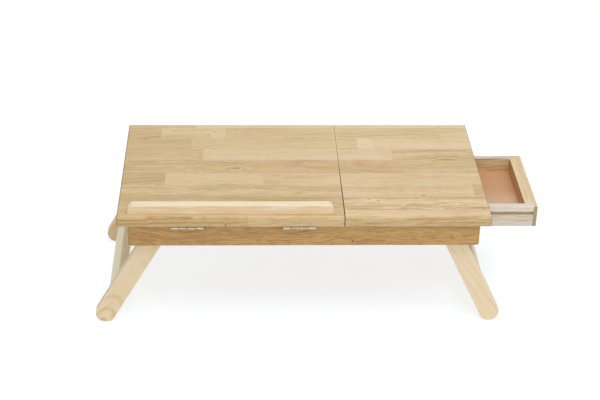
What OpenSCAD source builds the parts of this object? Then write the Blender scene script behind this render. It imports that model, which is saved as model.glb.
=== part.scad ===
// Low laptop table for a bed or sofa. A hinged panel tilts up on a wire prop,
// a fixed panel beside it covers a drawer that slides out at the right end,
// and two leg frames fold flat between the aprons.
// X runs from the left end to the right, Y from the sitter to the back, Z up.
// The origin is on the floor, under the middle of the table as it stands with its drawer out.

/* [Table top] */
// Length of the whole top
top_w = 550; // [500:5:640]
// Depth of the top, front to back
top_d = 300; // [270:5:360]
// Thickness of both panels
top_t = 18; // [14:0.5:22]
// Height of the top face above the floor
table_h = 200; // [180:5:260]
// Length of the panel that tilts
tilt_w = 333; // [310:1:360]
// Gap between the two panels
panel_gap = 0.6; // [0.6:0.2:4]
// Rounding of the top edges
top_round = 4; // [1:0.5:7]
// Rounding of the lower edges
under_round = 3; // [1:0.5:6]
// Rounding where the two panels face each other
split_round = 0.5; // [0.4:0.1:2]

/* [Apron frame] */
// Height of the aprons and rails
apron_h = 34; // [32:1:44]
// Thickness of the aprons
apron_t = 18; // [15:1:22]
// Distance of the apron's face behind the top's front edge
apron_setback = 5; // [4.8:0.1:12]
// Distance of the apron's ends from the top's ends
apron_inset = 16; // [8:1:24]
// Rounding of the apron's lower corners
apron_corner = 4; // [1:0.5:8]
// Easing of the long edges of aprons, legs and rails
edge_round = 1.5; // [0.5:0.25:3]
// Thickness of the end rail, the middle rail and the end blocks
rail_t = 18; // [15:1:22]
// Distance of the middle rail from the split, to clear the folded feet
middle_rail_back = 26; // [20:1:40]

/* [Folding legs] */
// Width of a leg seen from the front
leg_w = 30; // [24:1:32]
// Thickness of a leg
leg_t = 15; // [12:1:18]
// Splay of the left legs from the vertical
left_splay_angle = 30; // [22:1:32]
// Splay of the right legs from the vertical
right_splay_angle = 26; // [20:1:30]
// Depth of the leg pivots below the underside of the top
pivot_drop = 19; // [18:0.5:24]
// Size of a crossbar along the legs
crossbar_w = 30; // [20:1:36]
// Thickness of a crossbar
crossbar_t = 15; // [10:0.5:15]
// Distance of a crossbar's lower edge from the centre of the foot
crossbar_up = 20; // [17:1:30]
// Diameter of the pivot bolts
bolt_d = 6; // [5:0.5:8]
// Thickness of the washers beside the legs
washer_t = 1; // [0.8:0.1:1.6]

/* [Drawer] */
// Distance of the drawer's sides from the top's front and rear edges
drawer_in = 67.5; // [62:0.5:90]
// Length of the drawer from its face to its back
drawer_len = 150; // [130:1:152]
// Height of the drawer's sides
drawer_h = 34; // [26:1:34]
// Depth of the drawer's top edge below the underside of the top
drawer_drop = 4.5; // [4.5:0.5:7]
// How far the drawer stands out of the apron's end
drawer_out = 97; // [60:1:105]
// Travel left from there to the drawer's stop
drawer_more = 10; // [5:1:16]
// Thickness of the sides and the back
drawer_side_t = 10; // [8:0.5:12]
// Thickness of the end board that is pulled
drawer_end_t = 18; // [14:1:20]
// Length by which the sides lap into the end board
drawer_lap = 12; // [8:1:13]
// Thickness of the plywood floor
floor_t = 4; // [3:0.5:5]
// Height of the floor's underside above the sides' lower edge
floor_up = 7; // [4:0.5:9]
// Depth of the grooves that hold the floor
floor_groove = 4; // [3:0.5:5]
// Height of the runner groove in each side
groove_h = 6; // [4.5:0.1:6]
// Depth of the runner groove
groove_d = 5; // [4:0.5:6]
// Depth of the runner groove below the drawer's top edge
groove_drop = 8.2; // [7:0.2:10]
// Thickness of the partitions that carry the runners
partition_t = 12; // [10:0.5:15]
// Depth to which a runner is let into its partition
runner_let_in = 4; // [3:0.5:5]
// Height by which the drawer's back stands above its sides
back_rise = 3; // [2:0.5:4]

/* [Book ledge] */
// Length of the ledge
ledge_w = 301; // [240:1:306]
// Depth of the ledge, front to back
ledge_d = 14; // [11:0.5:18]
// Height of the ledge above the top
ledge_h = 14.5; // [12:0.5:18]
// Distance of the ledge behind the top's front edge
ledge_setback = 7; // [6:0.5:14]
// Rounding of the ledge's ends
ledge_round = 10; // [6:0.5:11]

/* [Hinges] */
// Length of each butt hinge
hinge_w = 50; // [40:1:60]
// Middle of the left hinge from the top's left end
left_hinge_x = 103; // [90:1:120]
// Middle of the right hinge from the tilting panel's right end
right_hinge_in = 66; // [43:1:110]
// Outer radius of the knuckles
knuckle_r = 2.4; // [2:0.05:2.4]
// Radius of the hinge pin
hinge_pin_r = 1.1; // [0.9:0.1:1.3]
// Thickness of the leaves
leaf_t = 1.2; // [1:0.1:1.4]
// Reach of a leaf from the pin's axis
leaf_d = 15; // [12:0.5:17]
// Knuckles on each hinge
knuckle_count = 4; // [4:1:6]

/* [Prop] */
// Diameter of the prop's rod
rod_d = 5; // [4:0.5:5]
// Distance of the folded prop's long bar from the rear apron
prop_back = 25.5; // [20:0.5:45]
// Depth of the prop's pivot below the hinges
prop_drop = 20; // [16:0.5:22]
// Bend radius of the rod's middle
rod_bend = 9; // [7:0.5:14]
// Distance of the prop's arms from the rails
arm_gap = 5; // [4:0.5:8]
// Thickness of the notched strips under the panel
strip_t = 4; // [3.5:0.25:4.5]
// Width of the notched strips
strip_w = 16; // [12:1:22]
// Distance of the notched strips from the prop's arms
strip_in = 32; // [24:1:60]
// Steepest tilt of the panel, in degrees
top_tilt_angle = 30; // [24:1:30]
// Lowest tilt that has a notch
low_tilt_angle = 10; // [8:1:14]
// Working tilts that have a notch
notch_count = 5; // [3:1:5]

/* [Screws and dowels] */
// Diameter of the small screws
screw_d = 3; // [2.5:0.1:3.5]
// Diameter of the long screws
long_screw_d = 4; // [3.5:0.1:4.5]
// Length of the long screws
long_screw_len = 44; // [40:1:46]
// Diameter of the glued dowels
dowel_d = 8; // [6:0.5:8]
// Depth of a dowel in each piece
dowel_in = 13; // [10:0.5:14]
// Diameter of the pin nails in the drawer
nail_d = 1.2; // [1:0.1:1.6]

/* [Hidden] */
$fn = 64;

// Clearances
seat = 0.05;         // glued, pressed or screwed pieces in their holes
turn = 0.05;         // a shaft in the hole that it turns in
gap = 0.3;           // pieces that move past each other
slide_gap = 1;       // each side of the drawer
over = 1;            // how far a cut runs past the face that it opens

// Edges that are only eased by hand
fine_round = 0.4;
rail_round = min(edge_round, 1);

// Heights
under_z = table_h - top_t;
apron_z = under_z - apron_h;
pivot_z = under_z - pivot_drop;

// Front and rear pieces mirror each other about the middle of the depth
middle_y = top_d / 2;
apron_in_y = apron_setback + apron_t;
leg_y = apron_in_y + washer_t + gap;
leg_in_y = leg_y + leg_t;
washer_y = leg_in_y + gap;

// Ends of the apron frame
frame_x0 = apron_inset;
frame_x1 = top_w - apron_inset;
frame_w = frame_x1 - frame_x0;
rail_in_x = frame_x0 + rail_t;
block_in_x = frame_x1 - rail_t;
split_x = tilt_w + panel_gap / 2;
middle_rail_x1 = split_x - middle_rail_back;
middle_rail_x0 = middle_rail_x1 - rail_t;

// The legs stop on the lower inner edges of the rail and the blocks, so the pivots follow from the splay
function pivot_in(splay) =
    (leg_w / 2 + gap + (pivot_z - apron_z) * sin(splay)) / cos(splay);
left_pivot_x = rail_in_x + pivot_in(left_splay_angle);
right_pivot_x = block_in_x - pivot_in(right_splay_angle);
// From the pivot to the middle of the round foot
function leg_len(splay) = (pivot_z - leg_w / 2) / cos(splay);

// Drawer
drawer_y0 = drawer_in;
drawer_w = top_d - 2 * drawer_in;
drawer_top = under_z - drawer_drop;
drawer_z = drawer_top - drawer_h;
drawer_x1 = frame_x1 + drawer_out;
drawer_x0 = drawer_x1 - drawer_len;
drawer_side_len = drawer_len - drawer_end_t + drawer_lap;
partition_y1 = drawer_y0 - slide_gap;
partition_y0 = partition_y1 - partition_t;
partition_x0 = frame_x1 - drawer_len;
runner_h = groove_h - 2 * gap;
runner_z = drawer_top - groove_drop - groove_h + gap;
runner_y0 = partition_y1 - runner_let_in;
runner_y1 = drawer_y0 + groove_d - 2 * gap;
runner_x1 = frame_x1 - (drawer_end_t - drawer_lap) - gap;
stop_x = drawer_x0 + drawer_more + drawer_side_t + gap;
stop_w = 12;
stop_len = drawer_w / 2;
stop_h = drawer_drop - slide_gap;

// Hinge axis, under the front overhang of the tilting panel
front_margin = 0.1;
right_hinge_x = tilt_w - right_hinge_in;
hinge_y = knuckle_r + front_margin;
hinge_z = under_z - knuckle_r - gap;
leaf_top = knuckle_r + gap;
knuckle_len = hinge_w / knuckle_count;
lower_leaf_z = hinge_z - knuckle_r;

// Prop: its arm is as long as its pivot is far from the hinges, so it turns twice as far as the panel.
// Its length follows from where the folded prop's bar lies, behind the hinges and above the pivot.
rod_r = rod_d / 2;
rod_perp = leaf_top - strip_t - rod_r - 2 * gap;
bar_behind = top_d - apron_in_y - prop_back - hinge_y;
bar_above = prop_drop + rod_perp;
prop_reach = (pow(bar_behind, 2) + pow(bar_above, 2)) / (2 * bar_behind);
prop_y = hinge_y + prop_reach;
prop_z = hinge_z - prop_drop;
prop_rise_angle = asin(bar_above / prop_reach);
prop_x0 = rail_in_x + arm_gap;
prop_x1 = middle_rail_x0 - arm_gap;
prop_pin = 9;
bush_wall = 2;
bush_r = rod_r + bush_wall;
// Place of the rod along the panel at a given tilt, measured from the hinge axis
function rod_along(tilt) =
    (prop_reach + prop_reach * cos(prop_rise_angle + 2 * tilt)) * cos(tilt)
    + (prop_reach * sin(prop_rise_angle + 2 * tilt) - prop_drop) * sin(tilt);
function notch_tilt(i) = low_tilt_angle + (top_tilt_angle - low_tilt_angle) * i / (notch_count - 1);
function notch_y(i) = hinge_y + rod_along(notch_tilt(i));
strip_front = 14;
strip_back = 4;
strip_y0 = notch_y(notch_count - 1) - strip_front;
strip_y1 = hinge_y + rod_along(0) + rod_r + strip_back;
left_strip_x = prop_x0 + strip_in;
right_strip_x = prop_x1 - strip_in - strip_w;

// The origin is under the middle of the whole, from the left foot to the drawer's face
left_reach = left_pivot_x - leg_len(left_splay_angle) * sin(left_splay_angle) - leg_w / 2;
origin = [(left_reach + drawer_x1) / 2, middle_y, 0];

// Colours of the woods and metals
oak = [0.80, 0.69, 0.50];
oak_apron = [0.66, 0.50, 0.30];
beech = [0.91, 0.83, 0.70];
birch = [0.87, 0.79, 0.64];
pine = [0.87, 0.84, 0.78];
plywood = [0.78, 0.62, 0.49];
steel = [0.74, 0.74, 0.75];
brass = [0.80, 0.66, 0.36];
nylon = [0.92, 0.92, 0.90];

// Shared shapes

// Moves everything from table measures, which start at the left front corner, to the origin
module placed() {
    translate(-origin) children();
}

// Repeats a front piece as its mirror image at the back
module at_back() {
    translate([0, top_d, 0]) mirror([0, 1, 0]) children();
}

module front_and_back() {
    children();
    at_back() children();
}

// What a square corner loses when it is rounded
module corner_waste(r) {
    difference() {
        translate([-over, -over]) square(r + over);
        translate([r, r]) circle(r);
    }
}

function same(r) = [r, r, r, r];

// Rectangle with its own rounding at each corner: lower left, lower right, upper right, upper left
module eased_rect(w, h, r) {
    difference() {
        square([w, h]);
        corner_waste(r[0]);
        translate([w, 0]) mirror([1, 0]) corner_waste(r[1]);
        translate([w, h]) rotate(180) corner_waste(r[2]);
        translate([0, h]) mirror([0, 1]) corner_waste(r[3]);
    }
}

// Extrudes an outline drawn in X and Z along Y
module along_y(length) {
    translate([0, length, 0]) rotate([90, 0, 0]) linear_extrude(length) children();
}

// Extrudes an outline drawn in Y and Z along X
module along_x(length) {
    rotate([90, 0, 90]) linear_extrude(length) children();
}

// Board along X whose four long edges are eased
module eased_board_x(w, d, h, r = edge_round) {
    along_x(w) eased_rect(d, h, same(r));
}

// Board along Y whose four long edges are eased
module eased_board_y(w, d, h, r = edge_round) {
    along_y(d) eased_rect(w, h, same(r));
}

// Countersunk screw pointing up from z = 0, with a cross recess in its head
module screw(d, length) {
    head_h = d * 0.55;
    recess = d * 0.25;
    difference() {
        union() {
            cylinder(h = head_h, r1 = d, r2 = d / 2);
            translate([0, 0, head_h]) cylinder(h = length - head_h - d, r = d / 2);
            translate([0, 0, length - d]) cylinder(h = d, r1 = d / 2, r2 = d / 8);
        }
        for (turned = [0, 90])
            rotate(turned)
                translate([-d * 0.6, -recess / 2, -over])
                    cube([d * 1.2, recess, d * 0.3 + over]);
    }
}

// The hole that a screw stands in
module screw_hole(d, length) {
    head_h = d * 0.55;
    translate([0, 0, -over]) cylinder(h = over, r = d + seat);
    cylinder(h = head_h, r1 = d + seat, r2 = d / 2 + seat);
    cylinder(h = length + seat, r = d / 2 + seat);
}

// Round piece or hole along Y, from the given place
module rod_y(x, y, z, r, length) {
    translate([x, y + length, z]) rotate([90, 0, 0]) cylinder(h = length, r = r);
}

// Round piece or hole along X, from the given place
module rod_x(x, y, z, r, length) {
    translate([x, y, z]) rotate([0, 90, 0]) cylinder(h = length, r = r);
}

// Table top

// The whole top before it is divided: rounded in plan and along its edges
module top_blank(x0, x1, r_left, r_right) {
    plan_round = 3;
    intersection() {
        translate([x0, 0, under_z])
            along_y(top_d)
                eased_rect(x1 - x0, top_t, [r_left[0], r_right[0], r_right[1], r_left[1]]);
        translate([0, 0, under_z])
            along_x(top_w)
                eased_rect(top_d, top_t, [under_round, under_round, top_round, top_round]);
        translate([0, 0, under_z])
            linear_extrude(top_t)
                eased_rect(top_w, top_d, same(plan_round));
    }
}

outer_edge = [under_round, top_round];
split_edge = [split_round, split_round];
ledge_x = (tilt_w - ledge_w) / 2;
ledge_screw_in = ledge_h * 0.6;
ledge_screw_len = top_t + ledge_screw_in;
sink = gap;          // how far the screw heads lie below the face

// Screws up into the ledge: one between the hinges, and one between each hinge and the ledge's end.
// They stand behind the hinge screws.
module at_ledge_screws() {
    places = [
        (ledge_x + left_hinge_x - hinge_w / 2) / 2,
        (left_hinge_x + right_hinge_x) / 2,
        (ledge_x + ledge_w + right_hinge_x + hinge_w / 2) / 2
    ];
    for (x = places)
        translate([x, ledge_setback + ledge_d * 2 / 3, under_z + sink])
            children();
}

module tilt_panel() {
    color(oak) placed() difference() {
        top_blank(0, tilt_w, outer_edge, split_edge);
        at_ledge_screws() screw_hole(long_screw_d, ledge_screw_len);
        at_hinges() upper_leaf_screw_holes();
        at_strips() at_strip_holes()
            translate([0, 0, strip_t - over])
                cylinder(h = small_screw_len - strip_t + over, r = screw_d / 2 + seat);
    }
}

module fixed_panel() {
    color(oak) placed() difference() {
        top_blank(tilt_w + panel_gap, top_w, split_edge, outer_edge);
        at_fixed_panel_screws() screw_hole(long_screw_d, long_screw_len);
        at_stop_screws() screw_hole(screw_d, stop_screw_len);
    }
}

module book_ledge() {
    long_edge = 1;
    color(beech) placed() difference() {
        intersection() {
            translate([ledge_x, ledge_setback, table_h])
                along_y(ledge_d)
                    eased_rect(ledge_w, ledge_h, [fine_round, fine_round, ledge_round, ledge_round]);
            translate([ledge_x, ledge_setback, table_h])
                along_x(ledge_w)
                    eased_rect(ledge_d, ledge_h, [fine_round, fine_round, long_edge, long_edge]);
        }
        at_ledge_screws() screw_hole(long_screw_d, ledge_screw_len);
    }
}

module ledge_screws() {
    color(steel) placed() at_ledge_screws() screw(long_screw_d, ledge_screw_len);
}

// Apron frame

dowel_spread = 0.22;
dowel_z = [apron_z + apron_h * (0.5 - dowel_spread), apron_z + apron_h * (0.5 + dowel_spread)];
rail_middles = [frame_x0 + rail_t / 2, (middle_rail_x0 + middle_rail_x1) / 2, frame_x1 - rail_t / 2];

// The dowels between the front apron and the rails; with grown = seat, the holes for them
module front_dowels(grown = 0) {
    for (x = rail_middles)
        for (z = dowel_z)
            rod_y(x, apron_in_y - dowel_in, z, dowel_d / 2 + grown, 2 * dowel_in);
}

insert_wall = 1.5;
insert_r = bolt_d / 2 + insert_wall;
insert_len = 12;

module at_leg_pivots() {
    for (x = [left_pivot_x, right_pivot_x])
        translate([x, 0, pivot_z]) children();
}

module apron_blank() {
    intersection() {
        translate([frame_x0, apron_setback, apron_z])
            along_y(apron_t)
                eased_rect(frame_w, apron_h, [apron_corner, apron_corner, fine_round, fine_round]);
        translate([frame_x0, apron_setback, apron_z])
            eased_board_x(frame_w, apron_t, apron_h, rail_round);
    }
}

module apron_with_holes() {
    difference() {
        apron_blank();
        front_dowels(seat);
        at_leg_pivots() rod_y(0, apron_in_y - insert_len, 0, insert_r + seat, insert_len + over);
    }
}

module front_apron() {
    color(oak_apron) placed() difference() {
        apron_with_holes();
        for (x = [left_hinge_x, right_hinge_x])
            translate([x - hinge_w / 2 - gap, apron_setback - over, lower_leaf_z])
                cube([hinge_w + 2 * gap, leaf_d + hinge_y - apron_setback + gap + over, apron_h]);
        at_hinges() lower_leaf_screw_holes();
    }
}

module rear_apron() {
    color(oak_apron) placed() at_back() apron_with_holes();
}

module left_end_rail() {
    color(oak_apron) placed() difference() {
        translate([frame_x0, apron_in_y, apron_z])
            eased_board_y(rail_t, top_d - 2 * apron_in_y, apron_h, rail_round);
        front_and_back() front_dowels(seat);
        prop_bush_holes();
    }
}

module middle_rail() {
    color(birch) placed() difference() {
        translate([middle_rail_x0, apron_in_y, apron_z])
            eased_board_y(rail_t, top_d - 2 * apron_in_y, apron_h, rail_round);
        front_and_back() front_dowels(seat);
        prop_bush_holes();
    }
}

// Block that closes the frame's right end beside the drawer
module end_block() {
    difference() {
        translate([block_in_x, apron_in_y, apron_z])
            eased_board_y(rail_t, partition_y1 - apron_in_y, apron_h, rail_round);
        front_dowels(seat);
        runner_space();
        at_fixed_panel_screws() screw_hole(long_screw_d, long_screw_len);
    }
}

module front_end_block() {
    color(oak_apron) placed() end_block();
}

module rear_end_block() {
    color(oak_apron) placed() at_back() end_block();
}

module frame_dowels() {
    color(birch) placed() front_and_back() front_dowels();
}

// Drawer bay

runner_screw_len = 12;
bay_w = block_in_x - partition_x0;

// Screws that hold the fixed panel: one up through each end block and two through each partition
module at_fixed_panel_screws() {
    block_x = frame_x1 - rail_t / 2;
    runner_margin = 1;
    block_y = apron_in_y + dowel_in + 2 * long_screw_d;
    partition_y = runner_y0 - long_screw_d / 2 - runner_margin;
    end_share = 0.12;
    places = [
        [block_x, block_y],
        [partition_x0 + bay_w * end_share, partition_y],
        [block_in_x - bay_w * end_share, partition_y]
    ];
    front_and_back()
        for (place = places)
            translate([place[0], place[1], apron_z]) children();
}

module at_runner_screws() {
    for (share = [0.25, 0.75])
        translate([partition_x0 + bay_w * share, partition_y0, runner_z + runner_h / 2])
            rotate([-90, 0, 0]) children();
}

// The slot that a runner is let into
module runner_space() {
    translate([partition_x0 - over, runner_y0, runner_z])
        cube([runner_x1 - partition_x0 + over, runner_let_in + over, runner_h]);
}

module partition() {
    difference() {
        translate([partition_x0, partition_y0, apron_z]) cube([bay_w, partition_t, apron_h]);
        runner_space();
        at_runner_screws() screw_hole(screw_d, runner_screw_len);
        at_fixed_panel_screws() screw_hole(long_screw_d, long_screw_len);
    }
}

// Strip that the drawer's groove hangs on; the end board's lip meets its end when the drawer is shut
module runner() {
    difference() {
        translate([partition_x0, runner_y0, runner_z])
            eased_board_x(runner_x1 - partition_x0, runner_y1 - runner_y0, runner_h, fine_round);
        at_runner_screws() screw_hole(screw_d, runner_screw_len);
    }
}

module front_partition() {
    color(birch) placed() partition();
}

module rear_partition() {
    color(birch) placed() at_back() partition();
}

module front_runner() {
    color(beech) placed() runner();
}

module rear_runner() {
    color(beech) placed() at_back() runner();
}

module runner_screws() {
    color(steel) placed() front_and_back() at_runner_screws() screw(screw_d, runner_screw_len);
}

module fixed_panel_screws() {
    color(steel) placed() at_fixed_panel_screws() screw(long_screw_d, long_screw_len);
}

// The drawer's back, which is a little taller than its sides, meets this strip when it is right out
stop_screw_len = 12;

module at_stop_screws() {
    from_middle = stop_len * 0.35;
    for (side = [-1, 1])
        translate([stop_x + stop_w / 2, middle_y + side * from_middle, under_z - stop_h])
            children();
}

module drawer_stop() {
    color(birch) placed() difference() {
        translate([stop_x, middle_y - stop_len / 2, under_z - stop_h])
            cube([stop_w, stop_len, stop_h]);
        at_stop_screws() screw_hole(screw_d, stop_screw_len);
    }
}

module drawer_stop_screws() {
    color(steel) placed() at_stop_screws() screw(screw_d, stop_screw_len);
}

// Leg pivots

bolt_head_r = bolt_d * 0.92;
bolt_head_h = 4;
bolt_tip_y = apron_in_y - insert_len + 1;

module leg_bolt_inserts() {
    color(brass) placed() front_and_back() at_leg_pivots() difference() {
        rod_y(0, apron_in_y - insert_len, 0, insert_r, insert_len);
        rod_y(0, apron_in_y - insert_len - over, 0, bolt_d / 2 + seat, insert_len + 2 * over);
    }
}

module leg_bolt() {
    socket_r = bolt_d * 0.48;
    socket_depth = bolt_head_h * 0.6;
    head_y = washer_y + washer_t;
    rod_y(0, bolt_tip_y, 0, bolt_d / 2, head_y - bolt_tip_y);
    difference() {
        rod_y(0, head_y, 0, bolt_head_r, bolt_head_h);
        translate([0, head_y + bolt_head_h + over, 0])
            rotate([90, 0, 0]) cylinder(h = socket_depth + over, r = socket_r, $fn = 6);
    }
}

module leg_pivot_bolts() {
    color(steel) placed() front_and_back() at_leg_pivots() leg_bolt();
}

module washer_at(y) {
    difference() {
        rod_y(0, y, 0, bolt_d, washer_t);
        rod_y(0, y - over, 0, bolt_d / 2 + seat, washer_t + 2 * over);
    }
}

module leg_spacer_washers() {
    color(nylon) placed() front_and_back() at_leg_pivots() washer_at(apron_in_y);
}

module leg_head_washers() {
    color(steel) placed() front_and_back() at_leg_pivots() washer_at(washer_y);
}

// Legs

// Bar along Z with fully round ends and eased edges, from Y 0 to its thickness.
// Its length is measured between the middles of the round ends.
module round_ended_bar(length, width, thick) {
    translate([-width / 2, 0, 0]) linear_extrude(length) eased_rect(width, thick, same(edge_round));
    for (z = [0, length])
        translate([0, thick, z]) rotate([90, 0, 0]) rotate_extrude()
            intersection() {
                translate([-width / 2, 0]) eased_rect(width, thick, same(edge_round));
                square([width, thick]);
            }
}

// Puts children, drawn with the foot at the origin and the leg upright, into the splayed leg.
// side is -1 for the left legs and 1 for the right ones.
module in_leg(pivot_x, splay, side) {
    translate([pivot_x, 0, pivot_z])
        rotate([0, -side * splay, 0])
            translate([0, 0, -leg_len(splay)])
                children();
}

crossbar_dowel_r = dowel_d * 3 / 8;
crossbar_dowel_in = leg_t * 0.6;
crossbar_dowel_z = [
    crossbar_up + crossbar_w * (0.5 - dowel_spread),
    crossbar_up + crossbar_w * (0.5 + dowel_spread)
];

// Dowels between a leg and its crossbar; with grown = seat, the holes for them
module crossbar_dowels(grown = 0) {
    for (z = crossbar_dowel_z)
        rod_y(0, leg_in_y - crossbar_dowel_in, z, crossbar_dowel_r + grown, 2 * crossbar_dowel_in);
}

module leg(pivot_x, splay, side) {
    in_leg(pivot_x, splay, side) difference() {
        translate([0, leg_y, 0]) round_ended_bar(leg_len(splay), leg_w, leg_t);
        rod_y(0, leg_y - over, leg_len(splay), bolt_d / 2 + turn, leg_t + 2 * over);
        crossbar_dowels(seat);
    }
}

module crossbar(pivot_x, splay, side) {
    in_leg(pivot_x, splay, side) difference() {
        translate([-crossbar_t / 2, leg_in_y, crossbar_up])
            eased_board_y(crossbar_t, top_d - 2 * leg_in_y, crossbar_w);
        front_and_back() crossbar_dowels(seat);
    }
}

module left_front_leg() {
    color(birch) placed() leg(left_pivot_x, left_splay_angle, -1);
}

module left_rear_leg() {
    color(birch) placed() at_back() leg(left_pivot_x, left_splay_angle, -1);
}

module left_crossbar() {
    color(birch) placed() crossbar(left_pivot_x, left_splay_angle, -1);
}

module left_crossbar_dowels() {
    color(beech) placed() in_leg(left_pivot_x, left_splay_angle, -1) front_and_back() crossbar_dowels();
}

module right_front_leg() {
    color(birch) placed() leg(right_pivot_x, right_splay_angle, 1);
}

module right_rear_leg() {
    color(birch) placed() at_back() leg(right_pivot_x, right_splay_angle, 1);
}

module right_crossbar() {
    color(birch) placed() crossbar(right_pivot_x, right_splay_angle, 1);
}

module right_crossbar_dowels() {
    color(beech) placed() in_leg(right_pivot_x, right_splay_angle, 1) front_and_back() crossbar_dowels();
}

// Hinges

small_screw_len = 12;
leaf_hole_y = hinge_y + leaf_d * 0.55;
leaf_hole_x = hinge_w * 0.36;
leaf_corner = 1.5;

module at_hinges() {
    for (x = [left_hinge_x, right_hinge_x])
        translate([x, 0, hinge_z]) children();
}

// Screw places of one leaf, from the hinge's middle
module at_leaf_holes() {
    for (x = [-leaf_hole_x, 0, leaf_hole_x])
        translate([x, leaf_hole_y, 0]) children();
}

// Screw holes through a leaf and into the wood behind it
module upper_leaf_screw_holes() {
    at_leaf_holes() translate([0, 0, leaf_top - leaf_t]) screw_hole(screw_d, small_screw_len);
}

module lower_leaf_screw_holes() {
    at_leaf_holes() translate([0, 0, leaf_t - knuckle_r])
        mirror([0, 0, 1]) screw_hole(screw_d, small_screw_len);
}

// Every second knuckle belongs to one leaf; first is 0 or 1
module knuckles(first) {
    for (i = [first : 2 : knuckle_count - 1])
        rod_x(-hinge_w / 2 + i * knuckle_len + gap / 2, hinge_y, 0, knuckle_r, knuckle_len - gap);
}

// The plate of a leaf between two heights, cut back from the other leaf's knuckles
module leaf_plate(z0, first) {
    plate_y = hinge_y + knuckle_r + gap;
    translate([-hinge_w / 2, plate_y, z0])
        linear_extrude(leaf_t)
            eased_rect(hinge_w, leaf_d - knuckle_r - gap, [fine_round, fine_round, leaf_corner, leaf_corner]);
    for (i = [first : 2 : knuckle_count - 1])
        translate([-hinge_w / 2 + i * knuckle_len + gap / 2, hinge_y, z0])
            cube([knuckle_len - gap, plate_y - hinge_y + over, leaf_t]);
}

module upper_leaf() {
    difference() {
        union() {
            leaf_plate(leaf_top - leaf_t, 0);
            knuckles(0);
        }
        rod_x(-hinge_w, hinge_y, 0, hinge_pin_r + turn, 2 * hinge_w);
        upper_leaf_screw_holes();
    }
}

module lower_leaf() {
    difference() {
        union() {
            leaf_plate(-knuckle_r, 1);
            knuckles(1);
        }
        rod_x(-hinge_w, hinge_y, 0, hinge_pin_r + seat, 2 * hinge_w);
        lower_leaf_screw_holes();
    }
}

module at_hinge(x) {
    translate([x, 0, hinge_z]) children();
}

module left_hinge_upper_leaf() {
    color(steel) placed() at_hinge(left_hinge_x) upper_leaf();
}

module right_hinge_upper_leaf() {
    color(steel) placed() at_hinge(right_hinge_x) upper_leaf();
}

module left_hinge_lower_leaf() {
    color(steel) placed() at_hinge(left_hinge_x) lower_leaf();
}

module right_hinge_lower_leaf() {
    color(steel) placed() at_hinge(right_hinge_x) lower_leaf();
}

module left_hinge_pin() {
    color(steel) placed() at_hinge(left_hinge_x) rod_x(-hinge_w / 2, hinge_y, 0, hinge_pin_r, hinge_w);
}

module right_hinge_pin() {
    color(steel) placed() at_hinge(right_hinge_x) rod_x(-hinge_w / 2, hinge_y, 0, hinge_pin_r, hinge_w);
}

module hinge_panel_screws() {
    color(steel) placed() at_hinges() at_leaf_holes()
        translate([0, 0, leaf_top - leaf_t]) screw(screw_d, small_screw_len);
}

module hinge_apron_screws() {
    color(steel) placed() at_hinges() at_leaf_holes()
        translate([0, 0, leaf_t - knuckle_r]) mirror([0, 0, 1]) screw(screw_d, small_screw_len);
}

// Prop and notched strips

module prop_bush_holes() {
    rod_x(rail_in_x - prop_pin - gap, prop_y, prop_z, bush_r + seat, prop_pin + gap + over);
    rod_x(middle_rail_x0 - over, prop_y, prop_z, bush_r + seat, prop_pin + gap + over);
}

module prop_bushes() {
    color(nylon) placed()
        for (x = [rail_in_x - prop_pin, middle_rail_x0])
            difference() {
                rod_x(x, prop_y, prop_z, bush_r, prop_pin);
                rod_x(x - over, prop_y, prop_z, rod_r + turn, prop_pin + 2 * over);
            }
}

// Quarter bend of the rod about the origin, from +X round to +Y
module rod_quarter(bend) {
    rotate_extrude(angle = 90) translate([bend, 0]) circle(rod_r);
}

// Half of the prop, drawn flat with its pivot on the X axis and its arm along Y.
// It starts in the middle of the long bar and ends in the pin that turns in the rail.
module prop_half(half_w) {
    pin_bend = rod_d * 0.8;
    rod_x(0, prop_reach, 0, rod_r, half_w - rod_bend);
    translate([half_w - rod_bend, prop_reach - rod_bend, 0]) rod_quarter(rod_bend);
    rod_y(half_w, pin_bend, 0, rod_r, prop_reach - rod_bend - pin_bend);
    translate([half_w + pin_bend, pin_bend, 0]) rotate(180) rod_quarter(pin_bend);
    rod_x(half_w + pin_bend, 0, 0, rod_r, arm_gap - pin_bend + prop_pin - gap);
}

module prop_wire() {
    half_w = (prop_x1 - prop_x0) / 2;
    color(steel) placed()
        translate([prop_x0 + half_w, prop_y, prop_z])
            rotate([prop_rise_angle, 0, 0]) {
                prop_half(half_w);
                mirror([1, 0, 0]) prop_half(half_w);
            }
}

module at_strips() {
    for (x = [left_strip_x, right_strip_x])
        translate([x, 0, under_z - strip_t]) children();
}

// Screw places of one strip: near its front end, and between its last two notches
module at_strip_holes() {
    end_margin = strip_front * 0.36;
    last = notch_count - 1;
    for (y = [strip_y0 + end_margin, (notch_y(last) + notch_y(last - 1)) / 2])
        translate([strip_w / 2, y, 0]) children();
}

module notched_strip() {
    notch_lift = rod_r * 0.35;
    difference() {
        translate([0, strip_y0, 0]) eased_board_y(strip_w, strip_y1 - strip_y0, strip_t, fine_round);
        for (i = [0 : notch_count - 1])
            rod_x(-over, notch_y(i), -notch_lift, rod_r + gap / 2, strip_w + 2 * over);
        at_strip_holes() screw_hole(screw_d, small_screw_len);
    }
}

module left_notched_strip() {
    color(beech) placed() translate([left_strip_x, 0, under_z - strip_t]) notched_strip();
}

module right_notched_strip() {
    color(beech) placed() translate([right_strip_x, 0, under_z - strip_t]) notched_strip();
}

module notched_strip_screws() {
    color(steel) placed() at_strips() at_strip_holes() screw(screw_d, small_screw_len);
}

// Drawer

groove_z = drawer_top - groove_drop - groove_h;
nail_len = 20;

module drawer_at() {
    translate([drawer_x0, drawer_y0, drawer_z]) children();
}

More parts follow.
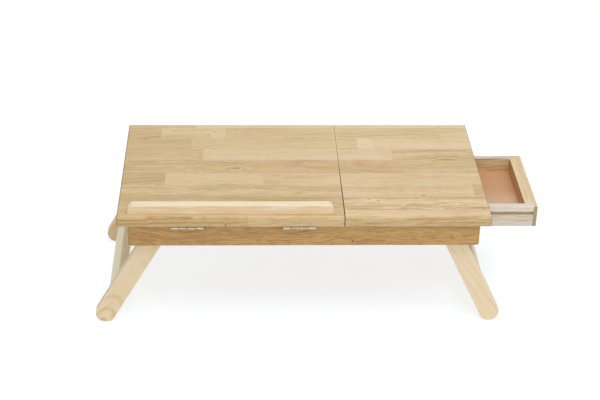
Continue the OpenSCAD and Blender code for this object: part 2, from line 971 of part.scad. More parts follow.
// Room for the plywood floor in the boards round it
module floor_space() {
    translate([drawer_side_t - floor_groove - seat, drawer_side_t - floor_groove - seat, floor_up - seat])
        cube([
            drawer_len - drawer_end_t - drawer_side_t + 2 * floor_groove + 2 * seat,
            drawer_w - 2 * drawer_side_t + 2 * floor_groove + 2 * seat,
            floor_t + 2 * seat
        ]);
}

// Pin nails through each side: three in the lapped corner and two in the back's end
nail_low = floor_up / 2;
nail_margin = 3;
nail_high = drawer_h - nail_margin;
nail_places = [
    [drawer_side_len - drawer_lap * 0.25, nail_high],
    [drawer_side_len - drawer_lap * 0.65, nail_high],
    [drawer_side_len - drawer_lap * 0.45, nail_low],
    [drawer_side_t / 2, nail_high],
    [drawer_side_t / 2, nail_low]
];

module side_nails() {
    for (place = nail_places)
        rod_y(place[0], 0, place[1], nail_d / 2, nail_len);
}

module side_nail_holes() {
    for (place = nail_places)
        rod_y(place[0], -over, place[1], nail_d / 2 + seat, nail_len + over);
}

module drawer_side() {
    difference() {
        cube([drawer_side_len, drawer_side_t, drawer_h]);
        translate([-over, -over, groove_z - drawer_z])
            cube([drawer_side_len + 2 * over, groove_d + over, groove_h]);
        floor_space();
        side_nail_holes();
    }
}

// Mirrors a piece of the drawer's front half to its rear half
module drawer_back_half() {
    translate([0, drawer_w, 0]) mirror([0, 1, 0]) children();
}

module drawer_front_side() {
    color(pine) placed() drawer_at() drawer_side();
}

module drawer_rear_side() {
    color(pine) placed() drawer_at() drawer_back_half() drawer_side();
}

module drawer_end_board() {
    lap_x = drawer_len - drawer_end_t;
    color(oak) placed() drawer_at() difference() {
        translate([lap_x, 0, 0]) cube([drawer_end_t, drawer_w, drawer_h]);
        for (y = [-over, drawer_w - drawer_side_t])
            translate([lap_x - over, y, -over])
                cube([drawer_lap + over, drawer_side_t + over, drawer_h + 2 * over]);
        floor_space();
        side_nail_holes();
        drawer_back_half() side_nail_holes();
    }
}

module drawer_back() {
    color(pine) placed() drawer_at() difference() {
        translate([0, drawer_side_t, 0])
            cube([drawer_side_t, drawer_w - 2 * drawer_side_t, drawer_h + back_rise]);
        floor_space();
        side_nail_holes();
        drawer_back_half() side_nail_holes();
    }
}

module drawer_floor() {
    color(plywood) placed() drawer_at()
        translate([drawer_side_t - floor_groove, drawer_side_t - floor_groove, floor_up])
            cube([
                drawer_len - drawer_end_t - drawer_side_t + 2 * floor_groove,
                drawer_w - 2 * drawer_side_t + 2 * floor_groove,
                floor_t
            ]);
}

module drawer_nails() {
    color(steel) placed() drawer_at() {
        side_nails();
        drawer_back_half() side_nails();
    }
}

// Nodes

front_apron();
rear_apron();
left_end_rail();
middle_rail();
front_end_block();
rear_end_block();
fixed_panel();
front_partition();
rear_partition();
front_runner();
rear_runner();
runner_screws();
drawer_stop();
drawer_stop_screws();
fixed_panel_screws();
frame_dowels();
leg_bolt_inserts();
leg_pivot_bolts();
leg_spacer_washers();
leg_head_washers();
prop_bushes();
left_hinge_lower_leaf();
right_hinge_lower_leaf();
left_hinge_pin();
right_hinge_pin();
hinge_apron_screws();
tilt_panel();
book_ledge();
ledge_screws();
left_hinge_upper_leaf();
right_hinge_upper_leaf();
hinge_panel_screws();
left_notched_strip();
right_notched_strip();
notched_strip_screws();
prop_wire();
left_front_leg();
left_rear_leg();
left_crossbar();
left_crossbar_dowels();
right_front_leg();
right_rear_leg();
right_crossbar();
right_crossbar_dowels();
drawer_end_board();
drawer_front_side();
drawer_rear_side();
drawer_back();
drawer_floor();
drawer_nails();
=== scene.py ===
# %% [markdown]
# # A small laptop table in pale timber
#
# The table arrives here as a finished frame of exact solids, one for each real piece or set of
# equal ones: a glued-up top in two panels, an apron frame, four folding legs, a wire prop, a drawer
# and its fittings.
# Their shapes are right already, so this lesson is about their looks. Each piece gets the finish
# of the real one: staves with their own tone, growth rings, pores, knots, sawn ends, plated metal.
# Everything is in metres, with X along the table, Y from front to back and Z up from the floor.

# %% Load the frame
from math import pi, radians

import bpy
from mathutils import Euler, Matrix, Vector


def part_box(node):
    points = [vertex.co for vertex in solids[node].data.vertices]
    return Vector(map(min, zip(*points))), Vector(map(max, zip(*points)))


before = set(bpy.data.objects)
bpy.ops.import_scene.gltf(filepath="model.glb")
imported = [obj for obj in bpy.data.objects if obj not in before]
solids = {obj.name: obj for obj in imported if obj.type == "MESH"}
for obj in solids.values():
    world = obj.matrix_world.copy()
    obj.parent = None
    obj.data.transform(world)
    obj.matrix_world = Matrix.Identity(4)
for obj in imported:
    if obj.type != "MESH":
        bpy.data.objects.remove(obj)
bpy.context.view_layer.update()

# %% [markdown]
# ## The camera
#
# The picture was taken from the front, a little left of the middle and about thirty degrees above
# the table, with the lens held very slightly crooked. A camera is easiest to place by its turns,
# one at a time: first the roll about its own line of sight, then the tilt down, then the turn to
# the side. The lens length is the one at which the table's far edge narrows as it should.

# %% Place the camera
camera_spot = Vector((-0.1163, -1.9997, 1.2837))
look_down = radians(29.681)
look_right = radians(2.712)
roll = radians(1.280)
lens_length = 88.3
farthest_view = 50

bpy.ops.object.camera_add()
camera = bpy.context.object
camera.name = "camera"
camera.data.lens = lens_length
camera.data.clip_end = farthest_view
turn = Matrix.Rotation(-look_right, 4, "Z") @ Matrix.Rotation(pi / 2 - look_down, 4, "X")
camera.matrix_world = Matrix.Translation(camera_spot) @ turn @ Matrix.Rotation(roll, 4, "Z")
bpy.context.scene.camera = camera
print("camera at", [round(v, 3) for v in camera_spot], "lens", lens_length, "mm")

# %% [markdown]
# ## Nodes in a few words
#
# A material is a sheet of small boxes joined by wires. These helpers put a box on the sheet, feed
# an input with a wire or a plain value, and do sums, so that each finish below reads like a recipe.
# Paint is given in everyday steps from 0 to 255 and turned into the linear values light needs.

# %% Helpers for boxes and wires
def paint(red, green, blue):
    """A colour given as on a screen, in the linear values that the shader mixes."""
    linear = []
    for step in (red, green, blue):
        share = step / 255
        linear.append(share / 12.92 if share < 0.04045 else ((share + 0.055) / 1.055) ** 2.4)
    return (*linear, 1.0)


def add_node(tree, kind, **settings):
    """A new node, laid out in rows of twelve in the order of making."""
    node = tree.nodes.new(kind)
    count = len(tree.nodes) - 1
    node.location = (190 * (count % 12), -320 * (count // 12))
    for name, value in settings.items():
        setattr(node, name, value)
    return node


def feed(tree, value, socket):
    """Joins a wire to an input, or writes a plain value there."""
    if isinstance(value, bpy.types.NodeSocket):
        tree.links.new(value, socket)
    else:
        socket.default_value = value


def feed_all(tree, values, sockets):
    """Feeds the first inputs in their order."""
    for value, socket in zip(values, sockets):
        feed(tree, value, socket)


def feed_named(tree, sockets, **values):
    """Feeds inputs by their names; an underscore stands for a space."""
    for name, value in values.items():
        feed(tree, value, sockets[name.replace("_", " ").capitalize()])


print("helpers for boxes and wires ready")

# %% Helpers for sums
def sums(tree, operation, *values, clamp=False):
    """One sum with plain numbers."""
    node = add_node(tree, "ShaderNodeMath", operation=operation, use_clamp=clamp)
    feed_all(tree, values, node.inputs)
    return node.outputs[0]


def plus(tree, total, *others):
    """Values added up."""
    for value in others:
        total = sums(tree, "ADD", total, value)
    return total


def minus(tree, value, taken):
    """One value less another."""
    return sums(tree, "SUBTRACT", value, taken)


def times(tree, product, *others):
    """Values multiplied with one another."""
    for value in others:
        product = sums(tree, "MULTIPLY", product, value)
    return product


def bell(tree, widths):
    """A soft hump: 1 in the middle, about a third one width away and next to nothing at two."""
    return sums(tree, "EXPONENT", times(tree, widths, widths, -1.0))


def vector_sums(tree, operation, *values):
    """One sum with vectors. A length comes out of its second output."""
    node = add_node(tree, "ShaderNodeVectorMath", operation=operation)
    feed_all(tree, values, node.inputs)
    return node.outputs[1] if operation == "LENGTH" else node.outputs[0]


def apart(tree, vector):
    """The three numbers of a vector."""
    node = add_node(tree, "ShaderNodeSeparateXYZ")
    feed(tree, vector, node.inputs[0])
    return node.outputs


def together(tree, x, y, z):
    """A vector of three numbers."""
    node = add_node(tree, "ShaderNodeCombineXYZ")
    feed_all(tree, (x, y, z), node.inputs)
    return node.outputs[0]


def blend_colour(tree, share, first, second, how="MIX"):
    """Two colours mixed, or laid over one another."""
    node = add_node(tree, "ShaderNodeMix", data_type="RGBA", blend_type=how)
    feed(tree, share, node.inputs["Factor"])
    feed(tree, first, node.inputs[6])
    feed(tree, second, node.inputs[7])
    return node.outputs[2]


def steps(tree, value, low, high, out_low=0.0, out_high=1.0, smooth=True):
    """Stretches a value from one range to another and stops at its ends."""
    kind = "SMOOTHSTEP" if smooth else "LINEAR"
    node = add_node(tree, "ShaderNodeMapRange", interpolation_type=kind)
    feed_all(tree, (value, low, high, out_low, out_high), node.inputs)
    return node.outputs[0]


print("helpers for sums ready")

# %% Helpers for noise and groups
def speckle(tree, place, waves, seed=0.0, detail=2.0, roughness=0.5, output="Fac"):
    """Soft noise with its own number of waves to the metre in X, Y and Z, for each seed its own."""
    node = add_node(tree, "ShaderNodeTexNoise", noise_dimensions="4D")
    spot = vector_sums(tree, "MULTIPLY", place, waves)
    feed_named(tree, node.inputs, vector=spot, w=seed, scale=1.0, detail=detail, roughness=roughness)
    return node.outputs[output]


# What a group's sockets carry is told by their names; all others are plain numbers.
vectors = ("Place", "Half size", "Heart", "Lean", "Facing", "Spot", "Low corner", "High corner")
colours = ("Pale", "Deep", "Colour", "Bright", "Dull")
socket_kinds = dict.fromkeys(vectors, "NodeSocketVector")
socket_kinds.update(dict.fromkeys(colours, "NodeSocketColor"))


def new_group(name, inputs, outputs):
    """A node group with named inputs and outputs, and its two end boxes."""
    group = bpy.data.node_groups.new(name, "ShaderNodeTree")
    for side, labels in (("INPUT", inputs), ("OUTPUT", outputs)):
        for label in labels:
            kind = socket_kinds.get(label, "NodeSocketFloat")
            group.interface.new_socket(label, in_out=side, socket_type=kind)
    given = add_node(group, "NodeGroupInput").outputs
    wanted = add_node(group, "NodeGroupOutput").inputs
    return group, given, wanted


def use_group(tree, group, **values):
    """Places a group in a sheet and feeds its inputs."""
    node = add_node(tree, "ShaderNodeGroup")
    node.node_tree = group
    feed_named(tree, node.inputs, **values)
    return node.outputs


print("helpers for noise and groups ready")

# %% [markdown]
# ## Handled edges
#
# Hands and sleeves polish the corners of a table first: the finish thins there, and the wood shows
# paler and smoother. A point on a board's face is near an edge when two of its distances to the
# board's sides are small, so the middle one of the three distances tells how far the edge is.

# %% Make the edge group
edge_group, given, wanted = new_group(
    "handled_edges", ["Place", "Half size", "Reach", "Seed"], ["Wear"],
)
tree = edge_group
from_middle = vector_sums(tree, "ABSOLUTE", given["Place"])
inwards = vector_sums(tree, "SUBTRACT", given["Half size"], from_middle)
near_x, near_y, near_z = apart(tree, inwards)
smaller = sums(tree, "MINIMUM", near_x, near_y)
larger = sums(tree, "MAXIMUM", near_x, near_y)
middle_one = sums(tree, "MAXIMUM", smaller, sums(tree, "MINIMUM", larger, near_z))
wear_waves = (60, 60, 60)
patchy = speckle(tree, given["Place"], wear_waves, given["Seed"], 3.0)
reach = times(tree, given["Reach"], steps(tree, patchy, 0.3, 0.7, 0.2, 1.6))
close = steps(tree, sums(tree, "DIVIDE", middle_one, reach), 0.0, 1.0, 1.0, 0.0)
feed_named(tree, wanted, wear=close)
print("edge group:", len(tree.nodes), "nodes")

# %% [markdown]
# ## Solid timber
#
# A board is a slice of a round trunk, and its figure is what the cut shows of the growth rings.
# So the rings are made in space, as tubes round a heart line that runs somewhere beside the board.
# A face then shows straight lines or arches by itself, and a sawn end shows curved rings. The heart
# wanders and may lean. Fine fibres, open pores and small flecks are noise drawn out along the
# grain, so they are dashes on a face and dots on an end. A sawn end drinks in the oil and turns
# darker and duller, so the group is also told which way each face looks.

# %% Start the timber group and bend its grain
timber_group, given, wanted = new_group(
    "solid_timber",
    ["Place", "Seed", "Heart", "Lean", "Ring width", "Wander", "Swirl", "Pale", "Deep", "Drift",
     "Figure", "Fibres", "Pores", "Flecks", "Thirst", "Wear", "Facing"],
    ["Colour", "Roughness", "Height"],
)
tree = timber_group
seed = given["Seed"]
along = apart(tree, given["Place"])[0]
leaning = vector_sums(tree, "MULTIPLY", given["Lean"], together(tree, along, along, along))
bent = vector_sums(tree, "SUBTRACT", given["Place"], leaning)

# Two sways push the grain aside: a slow one as wide as the piece asks, and a quick one for all.
slow_waves = (5, 16, 16)
quick_waves = (38, 55, 55)
quick_sway = 0.003
for waves, amount in ((slow_waves, given["Wander"]), (quick_waves, quick_sway)):
    noise = speckle(tree, given["Place"], waves, seed, output="Color")
    push = vector_sums(tree, "SUBTRACT", noise, (0.5, 0.5, 0.5))
    push = vector_sums(tree, "MULTIPLY", push, together(tree, 0.0, amount, amount))
    bent = vector_sums(tree, "ADD", bent, push)
print("grain bends: two sways")

# %% Grow the rings
from_heart = vector_sums(tree, "SUBTRACT", bent, given["Heart"])
from_heart = vector_sums(tree, "MULTIPLY", from_heart, (0, 1, 1))
distance = vector_sums(tree, "LENGTH", from_heart)
ring = plus(tree, sums(tree, "DIVIDE", distance, given["Ring width"]), given["Swirl"])
part_of_ring = sums(tree, "FRACT", ring)

# How dark the wood grows from spring to winter. A new year starts where the old one ended.
new_year = 0.45
seasons = ((0.16, 0.0), (0.62, 0.22), (0.9, 1.0))
late_wood = add_node(tree, "ShaderNodeValToRGB")
late_wood.color_ramp.interpolation = "EASE"
for element in late_wood.color_ramp.elements:
    element.color = (new_year, new_year, new_year, 1)
for spot, shade in seasons:
    late_wood.color_ramp.elements.new(spot).color = (shade, shade, shade, 1)
feed(tree, part_of_ring, late_wood.inputs[0])

# Some years show more than others, and so do some patches of the board.
patch_waves = (7, 70, 70)
year_spot = together(tree, times(tree, ring, 0.4), times(tree, seed, 9.7), 0.0)
each_year = add_node(tree, "ShaderNodeTexNoise", noise_dimensions="2D")
feed_named(tree, each_year.inputs, vector=year_spot, scale=1.0, detail=1.0)
year_strength = steps(tree, each_year.outputs["Fac"], 0.3, 0.72, 0.05, 1.0)
stretch = speckle(tree, bent, patch_waves, plus(tree, seed, 8.0), 1.0)
strength = times(tree, year_strength, steps(tree, stretch, 0.3, 0.65, 0.2, 1.3))
ring_depth = times(tree, late_wood.outputs["Color"], strength, given["Figure"])
print("rings ready")

# %% Lay streaks and fibres over the rings
broad_waves = (4, 34, 34)
streak_waves = (11, 210, 210)
fibre_waves = (26, 620, 620)
plain_depth = 0.12
edge_polish_and_shade = 0.3

broad = speckle(tree, bent, broad_waves, plus(tree, seed, 3.0))
liveliness = steps(tree, given["Figure"], 0.0, 1.0, 0.28, 0.5, smooth=False)
broad_depth = times(tree, minus(tree, broad, 0.5), liveliness)
streak = speckle(tree, bent, streak_waves, plus(tree, seed, 6.0))
streak_depth = times(tree, steps(tree, streak, 0.52, 0.72, 0.0, 0.3), given["Figure"])
fibre = speckle(tree, bent, fibre_waves, seed, 3.0, 0.6)
fibre_rise = minus(tree, fibre, 0.5)
fibre_depth = times(tree, fibre_rise, given["Fibres"])
drift_depth = times(tree, given["Drift"], along)
depth = plus(tree, plain_depth, ring_depth, broad_depth, streak_depth, fibre_depth, drift_depth)
# Worn edges turn paler; a negative wear, as on the oak, darkens the edges instead: painted shade.
depth = sums(tree, "SUBTRACT", depth, times(tree, given["Wear"], edge_polish_and_shade), clamp=True)
colour = blend_colour(tree, depth, given["Pale"], given["Deep"])
print("streaks and fibres laid")

# %% Open the pores and scatter the flecks
pore_waves = (75, 1500, 1500)
fleck_waves = (50, 520, 520)
pore_brown = paint(112, 78, 46)
pore_strength = 0.55
fleck_strength = 0.5

pore = speckle(tree, bent, pore_waves, seed)
early_wood = steps(tree, part_of_ring, 0.95, 0.2, 0.25, 1.0)
pore_mark = times(tree, steps(tree, pore, 0.56, 0.68), early_wood, given["Pores"])
colour = blend_colour(tree, times(tree, pore_mark, pore_strength), colour, pore_brown)
fleck = speckle(tree, bent, fleck_waves, plus(tree, seed, 5.0))
fleck_mark = times(tree, steps(tree, fleck, 0.5, 0.66), given["Flecks"])
fleck_shade = sums(tree, "MULTIPLY", fleck_mark, fleck_strength, clamp=True)
colour = blend_colour(tree, fleck_shade, colour, given["Deep"])
print("pores and flecks laid")

# %% Soak the ends and close the timber group
soaked_tint = paint(200, 186, 166)
smoothest = 0.42
fibre_rough = 0.16
pore_rough = 0.2
soaked_rough = 0.5
worn_smooth = 0.1
fibre_lift = 0.5
ring_lift = 0.25
pore_dip = 0.9

facing_end = sums(tree, "ABSOLUTE", apart(tree, given["Facing"])[0])
soaked = times(tree, steps(tree, facing_end, 0.45, 0.85), given["Thirst"])
colour = blend_colour(tree, soaked, colour, soaked_tint, "MULTIPLY")
roughness = plus(tree, times(tree, fibre, fibre_rough), smoothest, times(tree, soaked, soaked_rough))
roughness = plus(tree, roughness, times(tree, pore_mark, pore_rough))
polished = times(tree, given["Wear"], worn_smooth)
roughness = sums(tree, "SUBTRACT", roughness, polished, clamp=True)
height = minus(tree, times(tree, fibre_rise, fibre_lift), times(tree, pore_mark, pore_dip))
height = plus(tree, height, times(tree, ring_depth, ring_lift))
feed_named(tree, wanted, colour=colour, roughness=roughness, height=height)
print("timber group:", len(tree.nodes), "nodes")

# %% [markdown]
# ## Knots
#
# A knot is the foot of a branch. The rings run round it like water round a stone, and its middle is
# a small dark eye. The group gives a push for the ring count, which closes the rings round the
# spot, and a mask for the eye.

# %% Make the knot group
knot_group, given, wanted = new_group(
    "small_knot", ["Place", "Spot", "Size"], ["Swirl", "Eye"],
)
tree = knot_group
drawn_out = (0.4, 1, 0.3)
rings_pushed = 2.6
away = vector_sums(tree, "SUBTRACT", given["Place"], given["Spot"])
away = vector_sums(tree, "MULTIPLY", away, drawn_out)
widths = sums(tree, "DIVIDE", vector_sums(tree, "LENGTH", away), given["Size"])
swirl = times(tree, bell(tree, widths), rings_pushed)
eye = steps(tree, widths, 0.1, 0.34, 1.0, 0.0)
feed_named(tree, wanted, swirl=swirl, eye=eye)
print("knot group:", len(tree.nodes), "nodes")

# %% [markdown]
# ## Pin knots
#
# A twig that died young leaves a pin knot, a dark dot that the rings hardly notice. Two fronts have
# one each, and only its eye is laid over the wood.

# %% Say where the pin knots sit
apron_low, apron_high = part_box("front_apron")
panel_low, panel_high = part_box("tilt_panel")
pin_size = 0.0018
pin_brown = paint(70, 44, 22)
pin_knots = {
    "front_apron": (apron_low.x + 0.3305, apron_low.y, apron_low.z + 0.0074),
    "tilt_panel": (panel_low.x + 0.159, panel_low.y, panel_high.z - 0.014),
}


def with_pin_knot(tree, name, place, colour):
    """The colour of a piece with its pin knot laid over it, where it has one."""
    if name not in pin_knots:
        return colour
    eye = use_group(tree, knot_group, place=place, spot=pin_knots[name], size=pin_size)["Eye"]
    return blend_colour(tree, eye, colour, pin_brown)


print("pin knots on:", list(pin_knots))

# %% [markdown]
# ## The staves of the top
#
# The top is glued up from sticks of one timber, end to end in rows. Each stick came from another
# tree, so it has a tone of its own, is yellower or pinker, has a lively or a quiet figure and its
# own rings, as wide as that tree grew in a year. One strip of hard steps for each row holds four
# things: red for the tone, green for the warmth, blue for the figure and alpha for the seed. The
# rows are then laid side by side, and the seed picks the rings. The front face of the top is one
# more row, with tones of its own.

# %% Lay out the staves
top_length = 0.55
left_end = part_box("tilt_panel")[0].x
front_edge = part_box("fixed_panel")[0].y
top_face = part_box("fixed_panel")[1].z

# Each row: how far its front joint lies behind the top's front edge, in millimetres, and its sticks:
# where each starts from the left end, its tone, warmth, figure and seed. The first row is the front
# face, and the one at 97.6 is a thin, mostly pale line along the edge of the one behind it.
stave_rows = [
    (-1.0, [(0, 0.6, 0.0, 0.7, 0.13), (191, 0.5, 0.15, 1.0, 0.37), (333, 0.52, 0.1, 1.5, 0.58)]),
    (2.4, [(0, 0.52, 0.2, 0.7, 0.21), (333, 0.22, 0.7, 0.7, 0.66)]),
    (20.0, [(0, 0.48, 0.4, 1.3, 0.34), (333, 0.2, 0.45, 2.9, 0.72)]),
    (57.0, [(0, 0.29, 0.25, 1.1, 0.47), (333, 0.17, 0.6, 1.0, 0.15), (532, 0.55, 0.4, 1.0, 0.81)]),
    (97.6, [(0, 0.55, 0.3, 0.9, 0.52), (66, -0.35, 0.5, 0.1, 0.31)]),
    (98.9, [(0, 0.6, 0.3, 0.8, 0.52), (66, 0.22, 0.35, 0.4, 0.19), (213, 0.33, 0.3, 0.7, 0.93),
            (240, 0.24, 0.4, 0.6, 0.28)]),
    (133.0, [(0, 0.34, 0.3, 1.15, 0.61), (194, 0.56, 0.6, 0.6, 0.43), (430, 0.38, 0.2, 0.8, 0.87)]),
    (175.5, [(0, 0.44, 0.45, 0.55, 0.76), (122, 0.19, 0.7, 0.3, 0.32), (417, 0.26, 0.3, 1.3, 0.54)]),
    (212.0, [(0, 0.5, 0.5, 0.5, 0.97), (102, 0.24, 0.0, 0.5, 0.41), (366, -0.08, 0.9, 0.2, 0.69),
             (391, 0.14, 0.7, 0.35, 0.24)]),
    (248.0, [(0, 0.42, 0.3, 0.7, 0.83), (53, 0.12, 0.1, 0.9, 0.36), (133, 0.09, 0.3, 0.4, 0.63),
             (155, 0.24, 0.2, 0.6, 0.17), (501, 0.18, 0.5, 0.5, 0.49)]),
    (286.0, [(0, 0.34, 0.35, 0.15, 0.26), (109, 0.0, 0.5, 0.15, 0.74)]),
]

# A strip's colour holds a figure as its share of the liveliest one.
liveliest = 3.0
print("rows:", len(stave_rows), "staves:", sum(len(sticks) for _, sticks in stave_rows))

# %% Make the stave group
stave_group, given, wanted = new_group(
    "glued_staves",
    ["Place"],
    ["Tone", "Warmth", "Figure", "Seed", "Ring width", "Heart", "Glue line"],
)
tree = stave_group
along_top, behind_front = apart(tree, given["Place"])[:2]
share_along = sums(tree, "DIVIDE", minus(tree, along_top, left_end), top_length)
from_front = minus(tree, behind_front, front_edge)


def stick_strip(tree, sticks):
    """One row of sticks as a strip of hard steps along the top."""
    strip = add_node(tree, "ShaderNodeValToRGB")
    elements = strip.color_ramp.elements
    strip.color_ramp.interpolation = "CONSTANT"
    elements.remove(elements[1])
    for start, tone, warmth, figure, seed in sticks:
        element = elements.new(start / 1000 / top_length) if start else elements[0]
        element.color = (tone, warmth, figure / liveliest, seed)
    feed(tree, share_along, strip.inputs[0])
    return strip.outputs


# The front face goes over into the top without a joint, so the first glue line lies further back.
first_glue_line = 10
glue_half = 0.00018
traits = stick_strip(tree, stave_rows[0][1])
stave_colour = traits["Color"]
stave_seed = traits["Alpha"]
glue_line = 0.0
for joint, sticks in stave_rows[1:]:
    behind = sums(tree, "GREATER_THAN", from_front, joint / 1000)
    traits = stick_strip(tree, sticks)
    stave_colour = blend_colour(tree, behind, stave_colour, traits["Color"])
    chosen = add_node(tree, "ShaderNodeMix", data_type="FLOAT")
    feed(tree, behind, chosen.inputs[0])
    feed(tree, stave_seed, chosen.inputs[2])
    feed(tree, traits["Alpha"], chosen.inputs[3])
    stave_seed = chosen.outputs[0]
    if joint > first_glue_line:
        on_joint = sums(tree, "COMPARE", from_front, joint / 1000, glue_half)
        glue_line = sums(tree, "MAXIMUM", glue_line, on_joint)
print("strips laid:", len(stave_rows))

# %% Close the stave group
heart_aside = 0.17
heart_high = top_face - 0.02
heart_low = top_face - 0.11
narrow_ring = 0.002
wide_ring = 0.0045

colour_parts = add_node(tree, "ShaderNodeSeparateColor")
feed(tree, stave_colour, colour_parts.inputs[0])
tone, warmth, figure = colour_parts.outputs
chance = add_node(tree, "ShaderNodeTexWhiteNoise", noise_dimensions="1D")
feed(tree, stave_seed, chance.inputs["W"])
chance_x, chance_y, chance_z = apart(tree, chance.outputs["Color"])
heart_y = steps(tree, chance_y, 0.0, 1.0, -heart_aside, heart_aside, smooth=False)
heart_z = steps(tree, chance_z, 0.0, 1.0, heart_high, heart_low, smooth=False)
ring_width = steps(tree, chance_x, 0.0, 1.0, narrow_ring, wide_ring, smooth=False)
heart = together(tree, 0.0, heart_y, heart_z)
figure = times(tree, figure, liveliest)
feed_named(tree, wanted, tone=tone, warmth=warmth, figure=figure, seed=stave_seed)
feed_named(tree, wanted, ring_width=ring_width, heart=heart, glue_line=glue_line)
print("stave group:", len(tree.nodes), "nodes")

# %% [markdown]
# ## From groups to finishes
#
# A finish is the shader itself with its few plain settings, and the groups feed only its colour,
# roughness and the small bumps. Each wooden piece has its own material, because its grain has its
# own direction and its edges are its own. Mapping turns and centres the pattern, so that the grain
# always runs along the turned X and the middle of the piece is at zero.

# %% Helpers for finishes
wood_bumps = 0.00008


def new_finish(name):
    """An empty material: its sheet and shader, and the place on the piece and the way it faces."""
    material = bpy.data.materials.new(name)
    material.use_nodes = True
    tree = material.node_tree
    tree.nodes.clear()
    output = add_node(tree, "ShaderNodeOutputMaterial")
    shader = add_node(tree, "ShaderNodeBsdfPrincipled")
    feed(tree, shader.outputs[0], output.inputs["Surface"])
    points = add_node(tree, "ShaderNodeTexCoord").outputs
    return material, tree, shader, points["Object"], points["Normal"]


def finish(tree, shader, colour, roughness, height, bumps):
    """Feeds the shader, and turns a height into small bumps of that depth in metres."""
    feed(tree, colour, shader.inputs["Base Color"])
    feed(tree, roughness, shader.inputs["Roughness"])
    bump = add_node(tree, "ShaderNodeBump")
    feed_named(tree, bump.inputs, strength=1.0, distance=bumps, height=height)
    feed(tree, bump.outputs["Normal"], shader.inputs["Normal"])


def dress(material, *node_names):
    """Gives solids of the frame their finish."""
    for node_name in node_names:
        for slot in solids[node_name].material_slots:
            slot.link = "OBJECT"
            slot.material = material
        dressed.add(node_name)


def turned_box(node_name, turn):
    """The middle and half size of a solid, measured along its own turned directions."""
    matrix = Euler(turn).to_matrix()
    corners = [matrix @ vertex.co for vertex in solids[node_name].data.vertices]
    low = Vector(map(min, *corners))
    high = Vector(map(max, *corners))
    return (low + high) / 2, (high - low) / 2


def turned(tree, vector, turn, middle=None):
    """A direction as the turned piece sees it, or a place, where the piece's middle is given."""
    is_place = middle is not None
    node = add_node(tree, "ShaderNodeMapping", vector_type="POINT" if is_place else "VECTOR")
    node.inputs["Rotation"].default_value = turn
    if is_place:
        node.inputs["Location"].default_value = -middle
    feed(tree, vector, node.inputs["Vector"])
    return node.outputs[0]


def edge_wear(tree, local, half, reach, seed, strength=1.0):
    """How worn each place is, for a piece of that half size with its middle at zero."""
    edges = use_group(tree, edge_group, place=local, half_size=tuple(half), reach=reach, seed=seed)
    return times(tree, edges["Wear"], strength)


dressed = set()
print("finish helpers ready")

# %% [markdown]
# ## The two panels of the top
#
# Both panels were cut from one board, so they share one pattern and the sticks run on across the
# split between them. The cut faces in the split are painted dark in front, as painted shade in the
# gap, and pale at the back, as painted light. Tone mixes from pale to brown and warmth from yellow
# to pink. The knots sit where the real board has them.

# %% Describe the top
pale_yellow = paint(237, 218, 173)
pale_pink = paint(242, 219, 185)
brown_yellow = paint(194, 158, 98)
brown_pink = paint(208, 167, 120)
deeper = paint(210, 190, 154)
glue_brown = paint(150, 112, 70)
eye_brown = paint(142, 92, 46)
# The split's cut faces: dark in front as painted shade in the gap, pale at the back as painted light.
split_shade = paint(96, 52, 12)
split_light = paint(246, 226, 178)

# Each knot: distance from the left end, from the front edge and size, in millimetres, and how dark
# its eye is. Where that is 0, the rings only swell.
knots = [
    (455, 63, 6, 0.7), (372, 52, 6, 0.7), (386, 47, 5, 0.9), (312, 34, 6, 0.9), (268, 72, 4, 0.5),
    (92, 80, 4, 0.3), (190, 90, 6, 0.3), (505, 191, 13, 0.0), (176, 150, 6, 0.1),
    (107, 141, 7, 0.0), (241, 88, 5, 0.3), (7, 17, 5, 0.6),
]

# The cut faces: the middle and half width of the split, and where their painted shade fades behind
split_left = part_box("tilt_panel")[1].x
split_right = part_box("fixed_panel")[0].x
split_middle = (split_left + split_right) / 2
split_half = (split_right - split_left) / 2
cut_skin = 0.0002
cut_fade = 0.0004
shade_fades_from = 0.05
shade_fades_to = 0.24

eye_strength = 0.75
glue_strength = 0.35
glue_groove = 1.2
stick_seeds = 37.0
stick_wander = 0.011
plain_fibres = 0.38
tint_waves = (7, 60, 60)
print("knots:", len(knots), "split:", round(split_half * 2000, 2), "mm")

# %% Finish the top
def swirls_and_eyes(tree, place):
    """All knots of the top together: how they push the rings, and how dark their eyes are."""
    swirl = 0.0
    eye = 0.0
    for from_left, behind, size, darkness in knots:
        spot = (left_end + from_left / 1000, front_edge + behind / 1000, top_face)
        knot = use_group(tree, knot_group, place=place, spot=spot, size=size / 1000)
        swirl = plus(tree, swirl, knot["Swirl"])
        eye = sums(tree, "MAXIMUM", eye, times(tree, knot["Eye"], darkness * eye_strength))
    return swirl, eye


def split_faces(tree, place):
    """A mask of the split's cut faces and their colour: painted shade in front, painted light behind.
    """
    x, y = apart(tree, place)[:2]
    from_split = sums(tree, "ABSOLUTE", minus(tree, x, split_middle))
    solid_mask = split_half + cut_skin
    near = steps(tree, from_split, solid_mask, solid_mask + cut_fade, 1.0, 0.0)
    # Painted shade in front turns to painted light at the back.
    paler_behind = steps(tree, y, front_edge + shade_fades_from, front_edge + shade_fades_to)
    return near, blend_colour(tree, paler_behind, split_shade, split_light)


def stave_tones(tree, place, stave):
    """The pale and the deep colour of the stick at each place."""
    patch = speckle(tree, place, tint_waves, 2.0, 1.0)
    patch_warmth = steps(tree, patch, 0.3, 0.7, -0.55, 0.45)
    warmth = sums(tree, "ADD", stave["Warmth"], patch_warmth, clamp=True)
    pale = blend_colour(tree, warmth, pale_yellow, pale_pink)
    brown = blend_colour(tree, warmth, brown_yellow, brown_pink)
    tone = blend_colour(tree, stave["Tone"], pale, brown)
    return tone, blend_colour(tree, 1.0, tone, deeper, "MULTIPLY")


